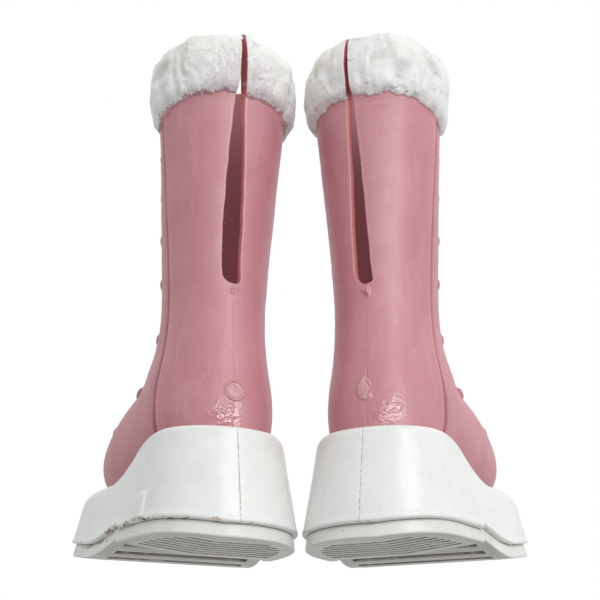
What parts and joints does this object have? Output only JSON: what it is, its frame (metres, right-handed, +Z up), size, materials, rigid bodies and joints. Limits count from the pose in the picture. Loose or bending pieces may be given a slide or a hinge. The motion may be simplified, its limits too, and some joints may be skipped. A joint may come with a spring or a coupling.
{
  "type": "pair of toy platform boots",
  "caption": "Pair of doll-scale knee-high platform boots: split-back pink vinyl shafts, fur-effect cuffs, front lacing and deep white ribbed soles.",
  "frame": {"origin": "on the ground, in the middle of the pair's footprint", "axes": "+Z up along the shafts, +Y the way the pair faces, +X towards the right boot"},
  "size_m": [0.067, 0.0414, 0.0754],
  "materials": {
    "pink_vinyl": "satin",
    "lace_vinyl": "satin",
    "fur_paint": "semi-gloss paint over moulded fur",
    "white_sole": "gloss",
    "tread": "satin"
  },
  "bodies": {
    "left_boot": {"left_vamp": "pink_vinyl", "left_heel_quarter": "pink_vinyl", "left_cuff_front": "fur_paint", "left_laces": "lace_vinyl", "left_lace_hooks": "lace_vinyl", "left_platform": "white_sole", "left_heel_tread": "tread", "left_sole_tread": "tread"},
    "left_inner_flap": {"left_inner_flap": "pink_vinyl", "left_cuff_inner": "fur_paint"},
    "left_outer_flap": {"left_outer_flap": "pink_vinyl", "left_cuff_outer": "fur_paint"},
    "right_boot": {"right_vamp": "pink_vinyl", "right_heel_quarter": "pink_vinyl", "right_cuff_front": "fur_paint", "right_laces": "lace_vinyl", "right_lace_hooks": "lace_vinyl", "right_platform": "white_sole", "right_heel_tread": "tread", "right_sole_tread": "tread"},
    "right_inner_flap": {"right_inner_flap": "pink_vinyl", "right_cuff_inner": "fur_paint"},
    "right_outer_flap": {"right_outer_flap": "pink_vinyl", "right_cuff_outer": "fur_paint"}
  },
  "joints": [
    {"name": "right_boot_apart", "type": "slide", "parent": "left_boot", "child": "right_boot", "axis": [1, 0, 0], "range_m": [0, 0.05]},
    {"name": "left_inner_flap_bend", "type": "hinge", "parent": "left_boot", "child": "left_inner_flap", "pos_m": [-0.00769, -0.01554, 0.0365], "axis": [0.2059, 0.1605, 0.9653], "range_deg": [0, 15], "stiffness_Nm_per_rad": 0.0005},
    {"name": "left_outer_flap_bend", "type": "hinge", "parent": "left_boot", "child": "left_outer_flap", "pos_m": [-0.00971, -0.01639, 0.0365], "axis": [0.2589, 0.0339, -0.9653], "range_deg": [0, 15], "stiffness_Nm_per_rad": 0.0005},
    {"name": "right_inner_flap_bend", "type": "hinge", "parent": "right_boot", "child": "right_inner_flap", "pos_m": [0.00769, -0.01554, 0.0365], "axis": [0.2059, -0.1605, -0.9653], "range_deg": [0, 15], "stiffness_Nm_per_rad": 0.0005},
    {"name": "right_outer_flap_bend", "type": "hinge", "parent": "right_boot", "child": "right_outer_flap", "pos_m": [0.00971, -0.01639, 0.0365], "axis": [0.2589, -0.0339, 0.9653], "range_deg": [0, 15], "stiffness_Nm_per_rad": 0.0005}
  ]
}
